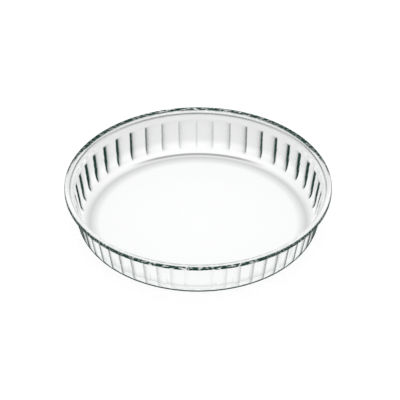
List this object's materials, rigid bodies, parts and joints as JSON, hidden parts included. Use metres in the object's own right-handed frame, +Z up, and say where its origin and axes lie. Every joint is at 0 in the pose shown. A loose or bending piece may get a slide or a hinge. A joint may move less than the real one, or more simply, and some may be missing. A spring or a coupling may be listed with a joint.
{
  "type": "glass tart dish",
  "caption": "Round shallow pressed-glass tart dish with a flat rim, fine ribs on the inside of the wall and broad flutes round the outside.",
  "frame": {"origin": "centre of the underside of the flat base, on the table", "axes": "+Z up out of the dish's mouth; X and Y lie in the table's plane; -Y is the side nearest the camera in the picture"},
  "size_m": [0.26, 0.26, 0.047],
  "materials": {
    "clear_glass": "clear pressed glass, fire-polished, with a faint green tint where it is thick"
  },
  "bodies": {
    "root": {"dish": "clear_glass"}
  },
  "joints": []
}
